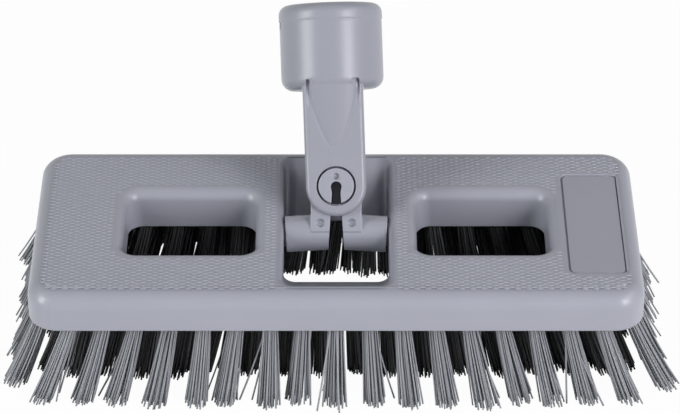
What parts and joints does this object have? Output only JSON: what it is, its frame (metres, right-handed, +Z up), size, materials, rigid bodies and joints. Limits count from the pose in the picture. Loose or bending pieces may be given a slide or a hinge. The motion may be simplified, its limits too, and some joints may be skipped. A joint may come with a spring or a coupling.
{
  "type": "swivel brush",
  "caption": "Rectangular scrubbing brush with finger windows and splayed bristle tufts, and a pole socket on a swivel joint that tilts forwards and backwards and swings sideways.",
  "frame": {"origin": "middle of the bounding box, on the floor plane that the bristle tips stand on", "axes": "+Z up, +X along the block to the user's right, +Y to the rear, where the pole socket leans at rest"},
  "size_m": [0.2168, 0.1043, 0.1058],
  "materials": {
    "grey_plastic": "satin moulded, with a fine raised pattern on the block's top",
    "grey_fibre": "drawn plastic fibre, cut ends",
    "black_fibre": "drawn plastic fibre, cut ends"
  },
  "bodies": {
    "brush": {"brush_block": "grey_plastic", "front_grey_row": "grey_fibre", "rear_grey_row": "grey_fibre", "left_end_grey_row": "grey_fibre", "right_end_grey_row": "grey_fibre", "front_black_row": "black_fibre", "rear_black_row": "black_fibre", "front_middle_black_row": "black_fibre", "rear_middle_black_row": "black_fibre", "front_left_black_row": "black_fibre", "front_right_black_row": "black_fibre", "rear_left_black_row": "black_fibre", "rear_right_black_row": "black_fibre", "left_inner_black_row": "black_fibre", "left_outer_black_row": "black_fibre", "right_inner_black_row": "black_fibre", "right_outer_black_row": "black_fibre"},
    "yoke": {"swivel_yoke": "grey_plastic"},
    "neck": {"handle_neck": "grey_plastic"}
  },
  "joints": [
    {"name": "yoke_tilt", "type": "hinge", "parent": "brush", "child": "yoke", "pos_m": [0, -0.00509, 0.0355], "axis": [1, 0, 0], "range_deg": [-12, 84]},
    {"name": "neck_swing", "type": "hinge", "parent": "yoke", "child": "neck", "pos_m": [0, 0.00426, 0.04836], "axis": [0, -0.809, 0.5878], "range_deg": [-42, 38]}
  ]
}
